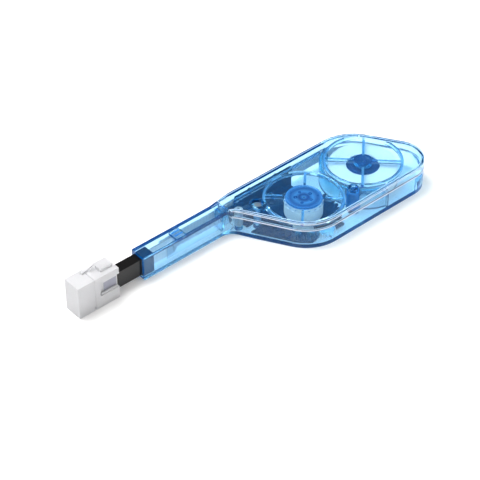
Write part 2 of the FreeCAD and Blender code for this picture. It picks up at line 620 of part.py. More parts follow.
def make_supply_reel():
    """Supply hub with one flange below the tape roll and a cup above."""
    reel = body("supply_reel", "supply_x", "supply_y")
    bore = "axle_radius + running_gap"
    sleeve = "axle_radius + barrel_wall"
    rim = "supply_hub - barrel_wall"
    turned(reel, [
        (bore, "supply_low"), ("supply_roll", "supply_low"), ("supply_roll", "supply_low + flange_thick"),
        ("supply_hub", "supply_low + flange_thick"), ("supply_hub", "supply_high"), (rim, "supply_high"),
        (rim, "supply_low + barrel_wall"), (sleeve, "supply_low + barrel_wall"), (sleeve, "supply_high"),
        (bore, "supply_high"),
    ])
    for turn in range(4):
        bar = spoke("0", "0", "axle_radius + barrel_wall / 2", "supply_hub - barrel_wall / 2",
                    "rib_width", 90 * turn)
        pad(reel, [(outline, bar)], "supply_low + barrel_wall / 2", "supply_high - barrel_wall")
    return reel


def make_supply_washer():
    """Spring washer that brakes the supply reel on its axle's shoulder."""
    washer = body("supply_washer", "supply_x", "supply_y")
    low = "supply_low - washer_thick - running_gap"
    turned(washer, rectangle("axle_radius + running_gap", low, "axle_shoulder + barrel_wall",
                             "supply_low - running_gap"))
    return washer


def make_stop_pawl():
    """Small pawl on the cover's post that keeps the take-up reel from turning back."""
    pawl = body("stop_pawl", "pawl_x", "pawl_y")
    low = "crown_low + running_gap"
    high = "crown_low + crown_thick"
    radius = "take_up_radius + crown_depth + pawl_gap"
    tip = ("take_up_x - pawl_x + (%s) * cos(pawl_contact * 1deg)" % radius,
           "take_up_y - pawl_y + (%s) * sin(pawl_contact * 1deg)" % radius)
    arm = [("-pawl_radius * 0.4", "-pawl_radius * 0.7"), tip, ("pawl_radius * 0.5", "pawl_radius * 0.7")]
    pad(pawl, [(circle, "0", "0", "pawl_radius")], low, high)
    pad(pawl, [(outline, arm)], low, high)
    cut(pawl, [(circle, "0", "0", "pawl_post + running_gap")], "0", "far_reach")
    return pawl


def make_tape_runs():
    """Fresh tape along the left wall, and used tape from the barrel round the roller to the reel."""
    feed = body("feed_tape_run")
    half = "tape_thick / 2"
    post_y = guide_post_y()
    gap = "(supply_roll + running_gap)"
    post_gap = "(guide_post_radius + running_gap)"
    span = "sqrt((supply_x - guide_x) ^ 2 + (supply_y - %s) ^ 2)" % post_y
    rise = "asin((%s - %s) / %s) / 1deg" % (gap, post_gap, span)
    fall = "atan((supply_y - %s) / (supply_x - guide_x)) / 1deg" % post_y
    normal = "(90 + %s + %s)" % (fall, rise)
    bend = "(90 + (%s + %s) / 2)" % (fall, rise)
    plan = [("tape_run_front", "tape_run_y - %s" % half)]
    plan.append(polar("guide_x", post_y, post_gap, bend))
    plan.append(polar("supply_x", "supply_y", gap, normal))
    plan.append(polar("supply_x", "supply_y", "%s + tape_thick" % gap, normal))
    plan.append(polar("guide_x", post_y, "%s + tape_thick" % post_gap, bend))
    plan.append(("tape_run_front", "tape_run_y + %s" % half))
    pad(feed, [(outline, plan)], "tape_low", "tape_low + tape_width")
    used = body("return_tape_run")
    roller = "(-tape_run_y - %s - roller_y)" % half
    reel = "(take_up_radius + used_tape + running_gap)"
    span = "sqrt((take_up_x - roller_x) ^ 2 + (take_up_y - roller_y) ^ 2)"
    rise = "asin((%s - %s) / %s) / 1deg" % (reel, roller, span)
    fall = "atan((take_up_y - roller_y) / (take_up_x - roller_x)) / 1deg"
    normal = "(90 + %s + %s)" % (fall, rise)
    bend = "(90 + (%s + %s) / 2)" % (fall, rise)
    plan = [("tape_run_front", "-tape_run_y - %s" % half)]
    plan.append(polar("roller_x", "roller_y", roller, bend))
    plan.append(polar("take_up_x", "take_up_y", reel, normal))
    plan.append(polar("take_up_x", "take_up_y", "%s + tape_thick" % reel, normal))
    plan.append(polar("roller_x", "roller_y", "%s + tape_thick" % roller, bend))
    plan.append(("tape_run_front", "-tape_run_y + %s" % half))
    pad(used, [(outline, plan)], "tape_low", "tape_low + tape_width")
    return feed, used


def make_guide_cap():
    """Guide cap: front socket for the connector, bore on the nozzle, side recesses and top block."""
    cap = body("guide_cap")
    pad(cap, [(outline, rectangle("cap_front", "-cap_half", "cap_back", "cap_half"))], "0", "cap_high")
    block = rectangle("block_start", "-block_half", "cap_back - barrel_wall", "block_half")
    pad(cap, [(outline, block)], "cap_high - barrel_wall", "block_top")
    socket = rectangle("-socket_half", "socket_low", "socket_half", "socket_high")
    cut(cap, [(outline, socket)], "cap_front - wall_width", "socket_back", "YZ_Plane")
    bore = rectangle("-nozzle_half - cap_gap", "nozzle_low - cap_gap", "nozzle_half + cap_gap",
                     "nozzle_high + cap_gap")
    cut(cap, [(outline, bore)], "socket_back - wall_width", "cap_back + wall_width", "YZ_Plane")
    for side in ("-1", "1"):
        edge = "%s * (cap_half - recess_depth)" % side
        beyond = "%s * (cap_half + wall_width)" % side
        recess = rectangle("recess_front", edge, "cap_back + wall_width", beyond)
        cut(cap, [(outline, recess)], "recess_low", "recess_high")
    notch = rectangle("cap_front - fit_gap", "-wall_width",
                      "hinge_x + hinge_radius + 2 * running_gap + fit_gap",
                      "hinge_z + hinge_radius + fit_gap")
    cut(cap, [(outline, notch)], "-knuckle_half - fit_gap", "knuckle_half + fit_gap", "XZ_Plane")
    cut(cap, [(circle, "hinge_x", "hinge_z", "lid_pin_radius")], "-far_reach", "far_reach", "XZ_Plane")
    return cap


def make_lid_pin():
    """Hinge pin of the dust lid."""
    pin = body("lid_pin")
    pad(pin, [(circle, "hinge_x", "hinge_z", "lid_pin_radius")], "-cap_half + fit_gap",
        "cap_half - fit_gap", "XZ_Plane")
    return pin


def make_dust_lid():
    """Hollow dust lid over the cap's socket, hinged at its lower back edge, with a finger tab."""
    lid = body("dust_lid")
    back = "(cap_front - cap_gap)"
    pad(lid, [(outline, rectangle("lid_front", "-cap_half", back, "cap_half"))], "0", "cap_high")
    hollow = rectangle("-cap_half + lid_wall", "lid_wall", "cap_half - lid_wall", "cap_high - lid_wall")
    cut(lid, [(outline, hollow)], "lid_front + lid_wall", "cap_front + wall_width", "YZ_Plane")
    corner = rectangle("hinge_x - 1.6 * hinge_radius", "-wall_width", "hinge_x + wall_width",
                       "hinge_z + 1.5 * hinge_radius")
    cut(lid, [(outline, corner)], "knuckle_half", "cap_half + wall_width", "XZ_Plane")
    cut(lid, [(outline, corner)], "-cap_half - wall_width", "-knuckle_half", "XZ_Plane")
    link = rectangle("hinge_x - 2 * hinge_radius", "hinge_z - hinge_radius", "hinge_x",
                     "hinge_z + hinge_radius")
    pad(lid, [(outline, link)], "-knuckle_half", "knuckle_half", "XZ_Plane")
    pad(lid, [(circle, "hinge_x", "hinge_z", "hinge_radius")], "-knuckle_half", "knuckle_half", "XZ_Plane")
    cut(lid, [(circle, "hinge_x", "hinge_z", "lid_pin_radius + running_gap")], "-far_reach", "far_reach",
        "XZ_Plane")
    tab = [
        ("%s - 3 * lid_wall" % back, "cap_high - lid_wall / 2"), (back, "cap_high - lid_wall / 2"),
        (back, "cap_high + fit_gap"), ("tab_tip_x", "tab_tip_z - lid_wall"), ("tab_tip_x", "tab_tip_z"),
        ("%s - 2 * lid_wall" % back, "cap_high + lid_wall"),
    ]
    pad(lid, [(outline, tab)], "-tab_high_y", "-tab_low_y", "XZ_Plane")
    return lid


def make_return_spring():
    """Coil spring round the rod, between the guide's flange and the case's web."""
    spring = doc.addObject("Part::Feature", "return_spring")
    spring.Label = "return_spring"
    wire = value("spring_wire")
    length = value("seat_web_x - guide_back") - wire - 2 * value("running_gap")
    radius = value("spring_radius")
    steps = int(value("turn_steps"))
    sides = int(value("wire_sides"))
    last = int(value("spring_turns")) * steps
    coil = []
    for step in range(last + 1):
        angle = math.radians(360 * step / steps)
        coil.append(V(radius * math.cos(angle), radius * math.sin(angle), length * step / last))
    corners = [math.radians(360 * side / sides) for side in range(sides + 1)]
    rim = [V(radius + wire / 2 * math.cos(a), 0, wire / 2 * math.sin(a)) for a in corners]
    section = Part.makePolygon(rim)
    spring.Shape = Part.makePolygon(coil).makePipeShell([section], True, True, SHARP_CORNERS)
    start = V(value("guide_back") + wire / 2 + value("running_gap"), 0, value("rod_level"))
    spring.Placement = FreeCAD.Placement(start, FreeCAD.Rotation(V(0, 1, 0), 90))
    return spring


def make_all():
    """Every piece of the pen."""
    pieces = [make_bottom_shell(), make_top_cover()]
    pieces.append(make_screw("cover_screw", "screw_x", "screw_y", "head_seat", "cover_screw_length"))
    rear = make_screw("rear_screw", "pillar_x", "pillar_y", "head_height + running_gap * 2",
                      "rear_screw_length")
    rear.Placement = FreeCAD.Placement(rear.Placement.Base, FreeCAD.Rotation(V(1, 0, 0), 180))
    pieces.append(rear)
    pieces.extend(make_neck_roller())
    pieces.extend([make_nozzle(), make_tape_head(), make_tape_loop(), make_guide_rod(), make_carriage()])
    pieces.extend([make_return_spring(), make_drive_gear(), make_take_up_reel()])
    pieces.append(make_tape_ring("used_tape", "take_up_x", "take_up_y", "take_up_radius",
                                 "take_up_radius + used_tape"))
    pieces.append(make_supply_reel())
    pieces.append(make_tape_ring("supply_tape", "supply_x", "supply_y", "supply_hub", "supply_roll"))
    pieces.extend([make_supply_washer(), make_stop_pawl()])
    pieces.extend(make_tape_runs())
    pieces.extend([make_guide_cap(), make_lid_pin(), make_dust_lid()])
    return pieces


pieces = make_all()
doc.recompute()
for item in doc.Objects:
    if "Invalid" in item.State or "Error" in item.State:
        raise RuntimeError("%s failed: %s" % (item.Name, item.State))
for piece in pieces:
    if piece.Shape.isNull() or not piece.Shape.isValid() or len(piece.Shape.Solids) != 1:
        raise RuntimeError("%s has no single valid solid" % piece.Label)
os.makedirs("parts", exist_ok=True)
for piece in pieces:
    piece.Shape.exportStep("parts/%s.step" % piece.Label)
print("%d pieces written" % len(pieces))
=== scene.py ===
"""Looks of a push-type fibre connector cleaning pen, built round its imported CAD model."""

import math

import bmesh
import bpy
from mathutils import Matrix, Vector


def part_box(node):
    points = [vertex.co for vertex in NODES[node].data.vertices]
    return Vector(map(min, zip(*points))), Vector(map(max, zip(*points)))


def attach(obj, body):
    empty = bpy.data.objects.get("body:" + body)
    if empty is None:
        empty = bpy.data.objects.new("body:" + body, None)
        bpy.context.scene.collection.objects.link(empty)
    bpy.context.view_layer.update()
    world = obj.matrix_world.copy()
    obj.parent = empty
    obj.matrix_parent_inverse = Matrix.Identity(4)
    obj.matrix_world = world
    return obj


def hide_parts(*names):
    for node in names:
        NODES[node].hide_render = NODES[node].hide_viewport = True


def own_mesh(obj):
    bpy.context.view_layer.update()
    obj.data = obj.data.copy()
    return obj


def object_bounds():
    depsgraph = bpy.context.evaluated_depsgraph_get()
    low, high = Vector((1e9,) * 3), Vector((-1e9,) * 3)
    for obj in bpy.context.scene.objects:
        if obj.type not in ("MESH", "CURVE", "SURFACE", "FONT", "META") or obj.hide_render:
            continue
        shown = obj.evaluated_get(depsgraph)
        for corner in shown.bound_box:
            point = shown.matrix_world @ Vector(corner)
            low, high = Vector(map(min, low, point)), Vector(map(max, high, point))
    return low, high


bl_info = {
    "name": "Cleaning pen looks",
    "version": (1, 0, 0),
    "blender": (4, 5, 0),
    "location": "View3D > Sidebar > Cleaning pen",
    "description": "Finishes, small parts and studio for a fibre connector cleaning pen",
    "category": "Object",
}

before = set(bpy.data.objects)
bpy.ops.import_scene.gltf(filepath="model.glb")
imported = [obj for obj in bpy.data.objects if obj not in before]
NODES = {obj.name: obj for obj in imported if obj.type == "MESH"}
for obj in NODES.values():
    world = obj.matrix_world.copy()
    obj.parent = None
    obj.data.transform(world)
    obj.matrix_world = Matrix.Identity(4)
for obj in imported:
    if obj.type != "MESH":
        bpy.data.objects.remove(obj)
CAD_LOW, CAD_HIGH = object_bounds()
MM = 0.001

# How shapes are made and read
LEVEL_SLACK = 0.02 * MM
WELD_REACH = 0.002 * MM
WALL_TILT = 0.3
FLAT_TILT = 0.9
DOWNWARD = -0.99
EDGE_ANGLE = math.radians(40.0)
EDGE_STEPS = 2
BEAD_STEPS = 2
LATHE_STEPS = 96
CAP_EDGE_SHARE = 0.4

# Light in plastics
CLEAR_IOR = 1.33
LIGHT_LET_IN = 0.48
BLOOM_ROUGHNESS = 1.0
MILKY_IOR = 1.4

# Grain of each kind of finish: how far it shifts the shade, and how fine it is
GRAIN = {
    "moulded": (0.12, 900.0), "clear": (0.03, 400.0), "milky": (0.05, 500.0), "reel": (0.06, 600.0),
    "steel": (0.1, 1500.0),
}
GRAIN_DETAIL = 3.0
GRAIN_BUMP = (0.15, 0.05 * MM)  # strength and height, as in each bump below

# Clear shells: CAD node, name, roughness and bloom
CLEAR = (("bottom_shell", "Hazy blue plastic", 0.12, 0.18), ("top_cover", "Clear blue plastic", 0.03, 0.13))

# Cloudy plastics: roughness, and the share of light that passes
MILKY = {
    "Natural plastic": (0.4, 0.6), "Cloudy white plastic": (0.4, 0.45), "Used tape": (0.2, 0.93),
    "Blue pillar": (0.35, 0.3), "Pale column": (0.35, 0.4), "Blue clip": (0.3, 0.5),
    # On the next line the joint line is a painted highlight and the deep blue line is a painted shade line
    "Painted shade line": (0.3, 0.3), "Blue rib edge": (0.25, 0.6), "Painted joint highlight": (0.3, 0.1),
    "White ledge": (0.4, 0.3), "Thin wall of the cap": (0.4, 0.3),
}

# Moulded plastics: roughness and shine
MOULDED = {
    "Black plastic": (0.18, 0.3), "Dark blue plastic": (0.3, 0.2), "Navy plastic": (0.35, 0.2),
    # The deep blue pocket colour paints shade on the boss face
    "Painted pocket shade": (0.3, 0.2),
}
STEEL = {"Bright steel": 0.25, "Cool steel": 0.3, "Blued steel": 0.35}  # roughness
REEL_ROUGHNESS = 0.4
UPWARD = 0.5

# Rings of the moulded face, whose darker bands are painted shade, and of wound tape
BAND_SCALE = 0.35
BAND_CONTRAST = 1.8
RINGED_ROUGHNESS = 0.3
RINGED_BUMP = (0.6, 0.3 * MM)
TAPE_ROUGHNESS = 0.75
TAPE_SHEEN = 0.2
TAPE_SHADE = 0.8
TAPE_BUMP = (0.3, 0.05 * MM)
WOUND_PITCHES = (("supply_tape", 0.45 * MM), ("used_tape", 0.2 * MM))
RUNNING_PITCH = 1.0 * MM

# Levels of the case, as the CAD has them
RIB_LEVEL = 13.2 * MM
JOINT_LEVEL = 11.1 * MM
AXLE_TOP = 12.4 * MM

# Levels of painted marks: the painted highlight line below the cover's rounded edge, and the height below
# which the take-up reel is painted dark
EDGE_LEVEL = 15.0 * MM
DARK_BAND_TOP = 9.2 * MM

# Moulded faces over the hubs: ring places are shares of the face's radius
BOSS_RADIUS = 9.3 * MM
BOSS_HOLE = 0.5 * MM
BOSS_LOW = 0.03 * MM
BOSS_HIGH = 0.13 * MM
BOSS_RINGS = (0.3, 0.62, 0.95)
BOSS_RIDGE = 0.3 * MM
BOSS_PITCH = 2.3 * MM
BOSS_SPOKES = 8
SPOKE_TURN = 20
SPOKE_START = 0.34
SPOKE_END = 0.9
SPOKE_WIDTH = 0.35 * MM
SPOKE_RISE = 0.09 * MM
SPOKE_TAPER = 0.02
# Thin raised dark rings on the boss face that paint the shade of small pockets; no pocket is cut
POCKET_SHADES = (
    (0, 0.46, 1.0), (75, 0.47, 0.8), (140, 0.45, 1.1), (215, 0.48, 0.8), (290, 0.45, 0.9), (330, 0.78, 0.6),
    (110, 0.8, 0.6),
)  # turn in degrees, share of the radius, size in mm
POCKET_HOLE = 0.3
POCKET_LOW = 0.01 * MM
POCKET_HIGH = 0.08 * MM
POCKET_STEPS = 20
HUB_RADIUS = 8.5 * MM
HUB_HOLE = 2.7 * MM
HUB_LOW = 0.01 * MM
HUB_HIGH = 0.12 * MM
HUB_RINGS = (0.45, 0.7, 0.95)
AXLE_FACE_RADIUS = 4.6 * MM
AXLE_FACE_HOLE = 0.4 * MM
AXLE_FACE_THICK = 0.12 * MM
AXLE_FACE_RINGS = (1.6 * MM, 2.9 * MM, 4.2 * MM)
RIDGE_WIDTH = 0.25 * MM
RIDGE_RISE = 0.12 * MM
RIDGE_CROWN = 0.6

# Sleeves of the screw columns: radius and level of each corner, in mm
PILLAR_CORNERS = ((1.5, 3.2), (3.2, 3.2), (3.2, 12.6), (2.6, 13.05), (1.5, 13.05))
COLUMN_CORNERS = ((1.3, 4.4), (1.9, 4.4), (1.9, 11.6), (2.6, 12.1), (1.3, 12.1))
SLEEVE_STEPS = 48

# Lines along the case: ends, side and level in mm, then the radius
# Dark lines that paint the shade along the inner edges of the barrel's side wall and top wall
SIDE_WALL_SHADE_LINE = (-37.5, -12.0, -3.25, 13.45, 0.22 * MM)
TOP_WALL_SHADE_LINE = (-41.0, -13.0, -4.6, 13.3, 0.16 * MM)
LEFT_STOP = (-42.4, -37.6, 1.6, 13.6, 0.55 * MM)
RIGHT_STOP = (-42.4, -37.6, -1.0, 13.6, 0.55 * MM)
# Radii of the pale beads that paint highlights along the shells' joint and below the cover's rounded edge
JOINT_HIGHLIGHT_RADIUS = 0.3 * MM
EDGE_HIGHLIGHT_RADIUS = 0.22 * MM
SOLE_SLACK = 0.05 * MM
SOLE_INSET = 0.36 * MM
SOLE_DROP = 0.02 * MM
SOLE_THICK = 0.08 * MM

# Steps in the cap's side recesses, in mm
LEDGES = (("upper_ledge", 13.6, -89.5, 3.9), ("lower_ledge", 7.4, -91.0, 4.5))  # name, level, start, depth
LEDGE_END = -81.2
LEDGE_DEEP = 0.6
LEDGE_HIGH = 0.7
LEDGE_EDGE = 0.12 * MM
WALL_PLACE = (-85.1, 3.62, 10.4)
WALL_SIZE = (7.6, 0.1, 5.6)
WALL_EDGE = 0.04 * MM

# Camera, floor and lamps
CAMERA_AZIMUTH = math.radians(41.31)
CAMERA_ELEVATION = math.radians(40.469)
CAMERA_DISTANCE = 0.9272
CAMERA_LENS = 139.34
CAMERA_SENSOR = 36.0
AIM_FROM_FRONT = 95.45 * MM
AIM_SIDE = -11.81 * MM
FLOOR_SIZE = 6.0
FLOOR_COLOUR = (0.93, 0.93, 0.93, 1)
FLOOR_ROUGHNESS = 0.9
FLOOR_GAP = 0.02 * MM
FLOOR_SEEN = 0.12
FLOOR_NEAR = 0.3
FLOOR_FAR = 1.2
FLOOR_THROUGH = 0.55
ROOM_LEVEL = 0.31
ROOM_COLOUR = (1.0, 0.965, 0.935, 1)
PANELS = (
    ("Key panel", (-0.15, 0.36, 0.95), 0.6, 14.0, False),
    ("Side panel", (0.42, -0.7, 0.6), 0.5, 2.6, True),
    ("Front panel", (-0.85, -0.3, 0.45), 0.6, 1.6, True),
)  # name, place, size, power, and whether gloss mirrors it


# ---------------------------------------------------------------- small helpers


def axis_of(node):
    """Centre of a CAD node in plan, and its highest level."""
    low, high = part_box(node)
    return ((low[0] + high[0]) / 2, (low[1] + high[1]) / 2), high[2]


def new_object(name, mesh, body, material):
    """An object that rides on a CAD body."""
    made = bpy.data.objects.new(name, mesh)
    bpy.context.scene.collection.objects.link(made)
    made.data.materials.append(material)
    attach(made, body)
    return made


def mesh_from(name, build):
    """A mesh filled by a function that takes an empty bmesh."""
    work = bmesh.new()
    build(work)
    bmesh.ops.recalc_face_normals(work, faces=work.faces)
    mesh = bpy.data.meshes.new(name)
    work.to_mesh(mesh)
    work.free()
    return mesh


def dress(node, material):
    """Give a CAD node one material."""
    piece = NODES[node]
    piece.data.materials.clear()
    piece.data.materials.append(material)
    return piece


def soften(piece, width):
    """Round the sharp edges of a piece by a small bevel."""
    weld = piece.modifiers.new("Join", "WELD")
    weld.merge_threshold = WELD_REACH
    bevel = piece.modifiers.new("Edge", "BEVEL")
    bevel.width = width
    bevel.segments = EDGE_STEPS
    bevel.limit_method = "ANGLE"
    bevel.angle_limit = EDGE_ANGLE
    bevel.use_clamp_overlap = True
    bevel.harden_normals = True


def joined(node):
    """A bmesh copy of a CAD node's solid with its split corners joined."""
    work = bmesh.new()
    work.from_mesh(NODES[node].data)
    bmesh.ops.remove_doubles(work, verts=work.verts, dist=WELD_REACH)
    work.normal_update()
    return work


def outer_edge(node, level):
    """The points along the outer upright wall where a CAD node's solid has its flat face at a level."""
    work = joined(node)
    near = {}
    for edge in work.edges:
        if any(abs(v.co.z - level) > LEVEL_SLACK for v in edge.verts) or len(edge.link_faces) != 2:
            continue
        tilts = sorted(abs(face.normal.z) for face in edge.link_faces)
        if tilts[0] < WALL_TILT and tilts[1] > FLAT_TILT:
            for one, two in (edge.verts, reversed(edge.verts)):
                near.setdefault(one.index, []).append(two.index)
    work.verts.ensure_lookup_table()
    places = {index: work.verts[index].co.copy() for index in near}
    work.free()
    chains = []
    left = set(near)
    while left:
        ends = [index for index in left if len(near[index]) == 1]
        point = ends[0] if ends else next(iter(left))
        chain = []
        while point is not None:
            chain.append(places[point])
            left.discard(point)
            point = next((index for index in near[point] if index in left), None)
        chains.append(chain)
    return max(chains, key=lambda chain: sum((b - a).length for a, b in zip(chain, chain[1:])))


def bead(name, points, radius, material):
    """A fine round bead moulded along a path on the case."""
    path = bpy.data.curves.new(name, "CURVE")
    path.dimensions = "3D"
    path.bevel_depth = radius
    path.bevel_resolution = BEAD_STEPS
    line = path.splines.new("POLY")
    line.points.add(len(points) - 1)
    for place, point in zip(line.points, points):
        place.co = (*point, 1)
    holder = bpy.data.objects.new(name, path)
    mesh = bpy.data.meshes.new_from_object(holder)
    bpy.data.objects.remove(holder)
    return new_object(name, mesh, "case", material)


def straight_bead(name, line, material):
    """A bead along the pen, from the ends, side and level in mm and the radius that a line gives."""
    start, end, side, level, radius = line
    bead(name, [Vector((x * MM, side * MM, level * MM)) for x in (start, end)], radius, material)


def sleeve(name, node, corners, material):
    """A turned sleeve of the case round a CAD node, from corners of radius and level in mm."""
    centre = axis_of(node)[0]
    profile = [(radius * MM, level * MM) for radius, level in corners]
    mesh = mesh_from(name, lambda work: lathe(work, profile, centre, SLEEVE_STEPS))
    new_object(name, mesh, "case", material)


def cap_block(name, centre, size, edge, material):
    """A small block of the cap with softened edges, from its centre and size in mm."""
    mesh = mesh_from(name, lambda work: bmesh.ops.create_cube(work, size=1.0))
    mesh.transform(Matrix.LocRotScale(Vector(centre) * MM, None, Vector(size) * MM))
    soften(new_object(name, mesh, "cap", material), edge)


def lathe(work, profile, centre, steps=LATHE_STEPS):
    """Turn a profile of (radius, height) points round an upright axis."""
    rings = []
    for radius, height in profile:
        ring = []
        for step in range(steps):
            angle = 2 * math.pi * step / steps
            ring.append(work.verts.new((
                centre[0] + radius * math.cos(angle), centre[1] + radius * math.sin(angle), height
            )))
        rings.append(ring)
    for first, second in zip(rings, rings[1:] + rings[:1]):
        for step in range(steps):
            after = (step + 1) % steps
            work.faces.new((first[step], first[after], second[after], second[step]))


def spoke(work, centre, inner, outer, angle, width, level, rise):
    """A low straight bar that points away from a centre."""
    along = Vector((math.cos(angle), math.sin(angle), 0))
    across = Vector((-along.y, along.x, 0)) * (width / 2)
    start = Vector((*centre, level)) + along * inner
    end = Vector((*centre, level)) + along * outer
    foot = [work.verts.new(place) for place in (start - across, end - across, end + across, start + across)]
    lift = Vector((0, 0, rise))
    top = [work.verts.new(v.co + lift + (start + end - 2 * v.co) * SPOKE_TAPER) for v in foot]
    work.faces.new(top)
    work.faces.new(reversed(foot))
    for step in range(4):
        after = (step + 1) % 4
        work.faces.new((foot[step], foot[after], top[after], top[step]))


def ridged_disc(work, centre, inner, outer, low, high, ridges, width):
    """A turned disc with round ridges on its upper face."""
    profile = [(inner, low), (outer, low), (outer, high)]
    for ridge in sorted(ridges, reverse=True):
        profile += [
            (ridge + width, high), (ridge + RIDGE_CROWN * width, high + RIDGE_RISE),
            (ridge - RIDGE_CROWN * width, high + RIDGE_RISE), (ridge - width, high),
        ]
    profile.append((inner, high))
    lathe(work, profile, centre)


# ---------------------------------------------------------------- shader groups


def group(name, inputs, outputs):
    """An empty shader group with named sockets, and its two end nodes."""
    tree = bpy.data.node_groups.new(name, "ShaderNodeTree")
    for label, kind, value in inputs:
        socket = tree.interface.new_socket(name=label, in_out="INPUT", socket_type=kind)
        if value is not None:
            socket.default_value = value
    for label, kind in outputs:
        tree.interface.new_socket(name=label, in_out="OUTPUT", socket_type=kind)
    return tree, tree.nodes.new("NodeGroupInput"), tree.nodes.new("NodeGroupOutput")


def math_node(tree, operation, first, second):
    """A math node on two sockets or numbers; returns its output."""
    made = tree.nodes.new("ShaderNodeMath")
    made.operation = operation
    for place, source in enumerate((first, second)):
        if isinstance(source, (int, float)):
            made.inputs[place].default_value = source
        else:
            tree.links.new(source, made.inputs[place])
    return made.outputs[0]


def moulded_grain():
    """Fine moulded texture: shifts a colour, a roughness and a height by soft noise."""
    tree, start, end = group(
        "Moulded grain",
        [
            ("Colour", "NodeSocketColor", (0.5, 0.5, 0.5, 1)),
            ("Roughness", "NodeSocketFloat", 0.4),
            ("Spread", "NodeSocketFloat", 0.1),
            ("Scale", "NodeSocketFloat", 900.0),
        ],
        [("Colour", "NodeSocketColor"), ("Roughness", "NodeSocketFloat"), ("Height", "NodeSocketFloat")],
    )
    place = tree.nodes.new("ShaderNodeTexCoord")
    noise = tree.nodes.new("ShaderNodeTexNoise")
    noise.inputs["Detail"].default_value = GRAIN_DETAIL
    tree.links.new(place.outputs["Object"], noise.inputs["Vector"])
    tree.links.new(start.outputs["Scale"], noise.inputs["Scale"])
    centred = math_node(tree, "SUBTRACT", noise.outputs["Fac"], 0.5)
    shift = math_node(tree, "MULTIPLY", centred, start.outputs["Spread"])
    shade = tree.nodes.new("ShaderNodeHueSaturation")
    tree.links.new(math_node(tree, "ADD", shift, 1.0), shade.inputs["Value"])
    tree.links.new(start.outputs["Colour"], shade.inputs["Color"])
    tree.links.new(shade.outputs["Color"], end.inputs["Colour"])
    rough = math_node(tree, "ADD", start.outputs["Roughness"], shift)
    tree.links.new(rough, end.inputs["Roughness"])
    tree.links.new(noise.outputs["Fac"], end.inputs["Height"])
    return tree


def winding_lines():
    """Fine rings of wound tape round an upright axis."""
    tree, start, end = group(
        "Winding lines",
        [("Centre", "NodeSocketVector", None), ("Pitch", "NodeSocketFloat", 0.0005)],
        [("Fac", "NodeSocketFloat"), ("Height", "NodeSocketFloat")],
    )
    place = tree.nodes.new("ShaderNodeTexCoord")
    away = tree.nodes.new("ShaderNodeVectorMath")
    away.operation = "SUBTRACT"
    tree.links.new(place.outputs["Object"], away.inputs[0])
    tree.links.new(start.outputs["Centre"], away.inputs[1])
    flat = tree.nodes.new("ShaderNodeVectorMath")
    flat.operation = "MULTIPLY"
    flat.inputs[1].default_value = (1, 1, 0)
    tree.links.new(away.outputs[0], flat.inputs[0])
    reach = tree.nodes.new("ShaderNodeVectorMath")
    reach.operation = "LENGTH"
    tree.links.new(flat.outputs[0], reach.inputs[0])
    turns = math_node(tree, "DIVIDE", reach.outputs["Value"], start.outputs["Pitch"])
    wave = math_node(tree, "PINGPONG", turns, 1.0)
    coarse = tree.nodes.new("ShaderNodeTexNoise")
    coarse.noise_dimensions = "1D"
    coarse.inputs["Scale"].default_value = BAND_SCALE
    tree.links.new(turns, coarse.inputs["W"])
    mixed = math_node(tree, "MULTIPLY", wave, coarse.outputs["Fac"])
    tree.links.new(mixed, end.inputs["Fac"])
    tree.links.new(wave, end.inputs["Height"])
    return tree


def new_material(name):
    """A new node material, its tree and its Principled shader."""
    made = bpy.data.materials.new(name)
    made.use_nodes = True
    return made, made.node_tree, made.node_tree.nodes["Principled BSDF"]


def use_group(tree, shared, **values):
    """A shared group placed in a material, with its own values."""
    made = tree.nodes.new("ShaderNodeGroup")
    made.node_tree = shared
    for label, value in values.items():
        made.inputs[label].default_value = value
    return made


def bump(tree, shader, height, strength, distance):
    """Feed a height into the shader's normal."""
    made = tree.nodes.new("ShaderNodeBump")
    made.inputs["Strength"].default_value = strength
    made.inputs["Distance"].default_value = distance
    tree.links.new(height, made.inputs["Height"])
    tree.links.new(made.outputs["Normal"], shader.inputs["Normal"])


def grained(tree, shader, kind, colour, roughness):
    """Give a shader its colour and roughness with the grain of one kind of finish; returns the grain."""
    spread, scale = GRAIN[kind]
    grain = use_group(tree, GROUPS["grain"], Colour=colour, Roughness=roughness, Spread=spread, Scale=scale)
    tree.links.new(grain.outputs["Colour"], shader.inputs["Base Color"])
    tree.links.new(grain.outputs["Roughness"], shader.inputs["Roughness"])
    return grain


def moulded_plastic(name, colour):
    """Opaque moulded plastic with a fine grain."""
    roughness, shine = MOULDED[name]
    made, tree, shader = new_material(name)
    grain = grained(tree, shader, "moulded", colour, roughness)
    shader.inputs["Specular IOR Level"].default_value = shine
    bump(tree, shader, grain.outputs["Height"], *GRAIN_BUMP)
    return made


def clear_plastic(name, colour, roughness, absorb, density, bloom, bloom_weight):
    """Tinted clear plastic that grows deeper in colour with its thickness, with a faint blue bloom."""
    made, tree, shader = new_material(name)
    grained(tree, shader, "clear", colour, roughness)
    shader.inputs["Transmission Weight"].default_value = 1.0
    shader.inputs["IOR"].default_value = CLEAR_IOR
    shader.inputs["Sheen Weight"].default_value = bloom_weight
    shader.inputs["Sheen Roughness"].default_value = BLOOM_ROUGHNESS
    shader.inputs["Sheen Tint"].default_value = bloom
    path = tree.nodes.new("ShaderNodeLightPath")
    let_in = math_node(tree, "MULTIPLY", path.outputs["Is Shadow Ray"], LIGHT_LET_IN)
    tree.links.new(math_node(tree, "SUBTRACT", 1.0, let_in), shader.inputs["Alpha"])
    tint = tree.nodes.new("ShaderNodeVolumeAbsorption")
    tint.inputs["Color"].default_value = absorb
    tint.inputs["Density"].default_value = density
    tree.links.new(tint.outputs["Volume"], tree.nodes["Material Output"].inputs["Volume"])
    return made


def milky_plastic(name, colour):
    """Cloudy plastic that lets some light through."""
    roughness, clear = MILKY[name]
    made, tree, shader = new_material(name)
    grained(tree, shader, "milky", colour, roughness)
    shader.inputs["Transmission Weight"].default_value = clear
    shader.inputs["IOR"].default_value = MILKY_IOR
    return made


